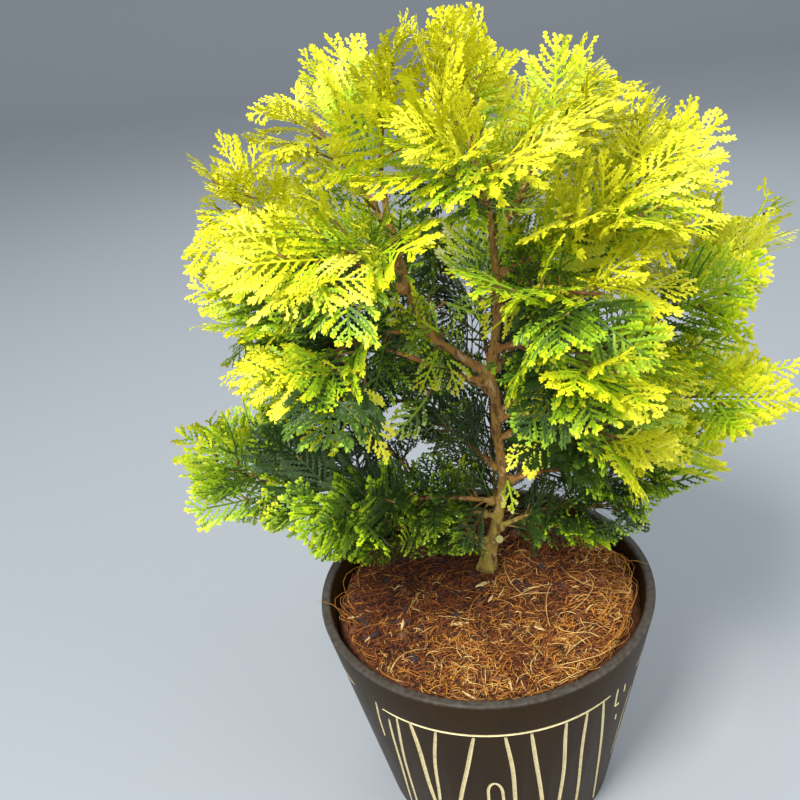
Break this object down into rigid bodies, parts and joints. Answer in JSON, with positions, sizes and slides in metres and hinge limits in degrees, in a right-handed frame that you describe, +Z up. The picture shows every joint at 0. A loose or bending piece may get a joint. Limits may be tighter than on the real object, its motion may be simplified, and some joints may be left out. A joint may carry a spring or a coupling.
{
  "type": "potted golden dwarf false cypress",
  "caption": "Dwarf conifer with flat golden fern-like sprays on a slender forked trunk, in a tapered dark pot filled with coir.",
  "frame": {"origin": "centre of the pot's flat underside", "axes": "+Z up along the plant, -Y towards the side that is seen first, +X to that side's right"},
  "size_m": [0.2668, 0.1957, 0.358],
  "materials": {
    "pot": "dark chocolate glaze with a satin face and carved cream lines",
    "coir": "loose reddish-brown coir fibre",
    "bark": "matt reddish-brown bark, greenish tan at the foot",
    "foliage_gold": "bright golden-yellow scale-leaf sprays",
    "foliage_lime": "yellow-green scale-leaf sprays",
    "foliage_green": "green scale-leaf sprays in the shade of the crown"
  },
  "bodies": {
    "root": {"bough_back_high": "bark", "bough_back_low": "bark", "bough_back_low_left": "bark", "bough_back_low_right": "bark", "bough_back_mid": "bark", "bough_back_mid_left": "bark", "bough_back_mid_right": "bark", "bough_bottom_left": "bark", "bough_bottom_right": "bark", "bough_front_high": "bark", "bough_front_left_upper": "bark", "bough_front_right_low": "bark", "bough_front_right_mid": "bark", "bough_front_right_upper": "bark", "bough_left_droop": "bark", "bough_left_high": "bark", "bough_left_mid": "bark", "bough_left_upper": "bark", "bough_low_left": "bark", "bough_low_left_front": "bark", "bough_right_front_high": "bark", "bough_right_high": "bark", "bough_right_long": "bark", "bough_right_low": "bark", "bough_right_mid": "bark", "bough_top_left": "bark", "bough_top_right": "bark", "coir_fill": "coir", "foliage_back_high": "foliage_gold", "foliage_back_low": "foliage_green", "foliage_back_low_left": "foliage_lime", "foliage_back_low_right": "foliage_lime", "foliage_back_mid": "foliage_gold", "foliage_back_mid_left": "foliage_gold", "foliage_back_mid_right": "foliage_gold", "foliage_bottom_left": "foliage_green", "foliage_bottom_right": "foliage_green", "foliage_front_high": "foliage_gold", "foliage_front_left_upper": "foliage_gold", "foliage_front_right_low": "foliage_lime", "foliage_front_right_mid": "foliage_gold", "foliage_front_right_upper": "foliage_gold", "foliage_left_droop": "foliage_gold", "foliage_left_high": "foliage_gold", "foliage_left_mid": "foliage_lime", "foliage_left_upper": "foliage_gold", "foliage_low_left": "foliage_lime", "foliage_low_left_front": "foliage_green", "foliage_right_front_high": "foliage_gold", "foliage_right_high": "foliage_gold", "foliage_right_long": "foliage_gold", "foliage_right_low": "foliage_green", "foliage_right_mid": "foliage_lime", "foliage_top": "foliage_gold", "foliage_top_leader": "foliage_gold", "foliage_top_left": "foliage_gold", "foliage_top_right": "foliage_gold", "left_leader": "bark", "pot": "pot", "trunk": "bark"}
  },
  "joints": []
}
